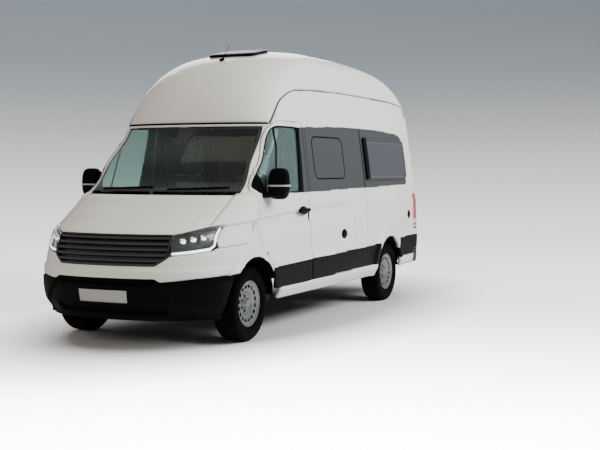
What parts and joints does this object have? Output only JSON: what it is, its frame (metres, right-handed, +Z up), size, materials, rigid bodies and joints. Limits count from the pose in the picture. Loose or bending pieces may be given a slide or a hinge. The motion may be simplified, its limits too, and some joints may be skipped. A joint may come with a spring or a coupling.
{
  "type": "camper van",
  "caption": "High-roof camper van with rolling and steered wheels, hinged cab doors, rear doors and bonnet, a hollow cab and a fitted living space.",
  "frame": {"origin": "middle of the footprint on the ground, halfway between the two bumpers", "axes": "+X forward, +Y to the van's left, +Z up"},
  "size_m": [5.9849, 2.4276, 3.0007],
  "materials": {
    "white_paint": "gloss white paint",
    "grey_paint": "gloss dark grey paint",
    "black_plastic": "grained black",
    "gloss_black": "gloss black",
    "dark_glass": "dark tinted",
    "clear_glass": "clear",
    "lamp_inside": "moulded reflector",
    "lamp_red": "red lens",
    "rubber": "matt",
    "tyre": "matt",
    "rim": "silver paint",
    "steel": "black primer",
    "iron": "bare casting",
    "exhaust_steel": "dull steel",
    "cloth": "woven grey",
    "dash": "grained dark grey",
    "wood": "light veneer",
    "mattress": "beige cover"
  },
  "bodies": {
    "body": {"floor_pan": "steel", "wheel_housings": "black_plastic", "mudflaps": "rubber", "side_wall_left": "white_paint", "side_wall_right": "white_paint", "sliding_door": "white_paint", "window_frames": "black_plastic", "side_windows": "dark_glass", "high_roof": "white_paint", "roof_hatch": "gloss_black", "antenna": "black_plastic", "cab_frame": "white_paint", "hinge_posts": "steel", "windscreen": "clear_glass", "scuttle": "black_plastic", "front_wings": "white_paint", "fascia": "white_paint", "front_bumper": "black_plastic", "grille": "gloss_black", "headlamp_lenses": "clear_glass", "headlamp_units": "lamp_inside", "tail_lamps": "lamp_red", "rear_bumper": "black_plastic", "dashboard": "dash", "steering_wheel": "dash", "cab_seats": "cloth", "cabinets": "wood", "rear_bed": "mattress", "chassis_frame": "steel", "engine_block": "iron", "fuel_tank": "black_plastic", "exhaust": "exhaust_steel", "front_suspension": "steel", "rear_axle": "steel"},
    "bonnet": {"bonnet": "white_paint"},
    "cab_door_left": {"cab_door_left": "white_paint", "cab_glass_left": "clear_glass", "mirror_left": "black_plastic"},
    "cab_door_right": {"cab_door_right": "white_paint", "cab_glass_right": "clear_glass", "mirror_right": "black_plastic"},
    "rear_door_left": {"rear_door_left": "white_paint", "rear_door_glass_left": "dark_glass"},
    "rear_door_right": {"rear_door_right": "white_paint", "rear_door_glass_right": "dark_glass"},
    "knuckle_left": {"knuckle_left": "iron"},
    "knuckle_right": {"knuckle_right": "iron"},
    "wheel_front_left": {"tyre_front_left": "tyre", "rim_front_left": "rim"},
    "wheel_front_right": {"tyre_front_right": "tyre", "rim_front_right": "rim"},
    "wheel_rear_left": {"tyre_rear_left": "tyre", "rim_rear_left": "rim"},
    "wheel_rear_right": {"tyre_rear_right": "tyre", "rim_rear_right": "rim"}
  },
  "joints": [
    {"name": "bonnet_hinge", "type": "hinge", "parent": "body", "child": "bonnet", "pos_m": [2.04623, 0, 1.32098], "axis": [0, -1, 0], "range_deg": [0, 50]},
    {"name": "cab_door_left_hinge", "type": "hinge", "parent": "body", "child": "cab_door_left", "pos_m": [1.91699, 1.00143, 1], "axis": [0, 0, -1], "range_deg": [0, 70]},
    {"name": "cab_door_right_hinge", "type": "hinge", "parent": "body", "child": "cab_door_right", "pos_m": [1.91699, -1.00143, 1], "axis": [0, 0, 1], "range_deg": [0, 70]},
    {"name": "rear_door_left_hinge", "type": "hinge", "parent": "body", "child": "rear_door_left", "pos_m": [-2.9346, 0.78999, 1.3], "axis": [0, 0, -1], "range_deg": [0, 180]},
    {"name": "rear_door_right_hinge", "type": "hinge", "parent": "body", "child": "rear_door_right", "pos_m": [-2.9346, -0.78999, 1.3], "axis": [0, 0, 1], "range_deg": [0, 180]},
    {"name": "steer_left", "type": "hinge", "parent": "body", "child": "knuckle_left", "pos_m": [1.99274, 0.79549, 0.356], "axis": [0, 0, 1], "range_deg": [-38, 38]},
    {"name": "steer_right", "type": "hinge", "parent": "body", "child": "knuckle_right", "pos_m": [1.99274, -0.79549, 0.356], "axis": [0, 0, 1], "range_deg": [-38, 38]},
    {"name": "spin_front_left", "type": "hinge", "parent": "knuckle_left", "child": "wheel_front_left", "pos_m": [1.99274, 0.87149, 0.356], "axis": [0, 1, 0], "continuous": true},
    {"name": "spin_front_right", "type": "hinge", "parent": "knuckle_right", "child": "wheel_front_right", "pos_m": [1.99274, -0.87149, 0.356], "axis": [0, 1, 0], "continuous": true},
    {"name": "spin_rear_left", "type": "hinge", "parent": "body", "child": "wheel_rear_left", "pos_m": [-1.64735, 0.87149, 0.356], "axis": [0, 1, 0], "continuous": true},
    {"name": "spin_rear_right", "type": "hinge", "parent": "body", "child": "wheel_rear_right", "pos_m": [-1.64735, -0.87149, 0.356], "axis": [0, 1, 0], "continuous": true}
  ],
  "couplings": [
    {"joint": "steer_right", "follows": "steer_left", "ratio": 1}
  ]
}
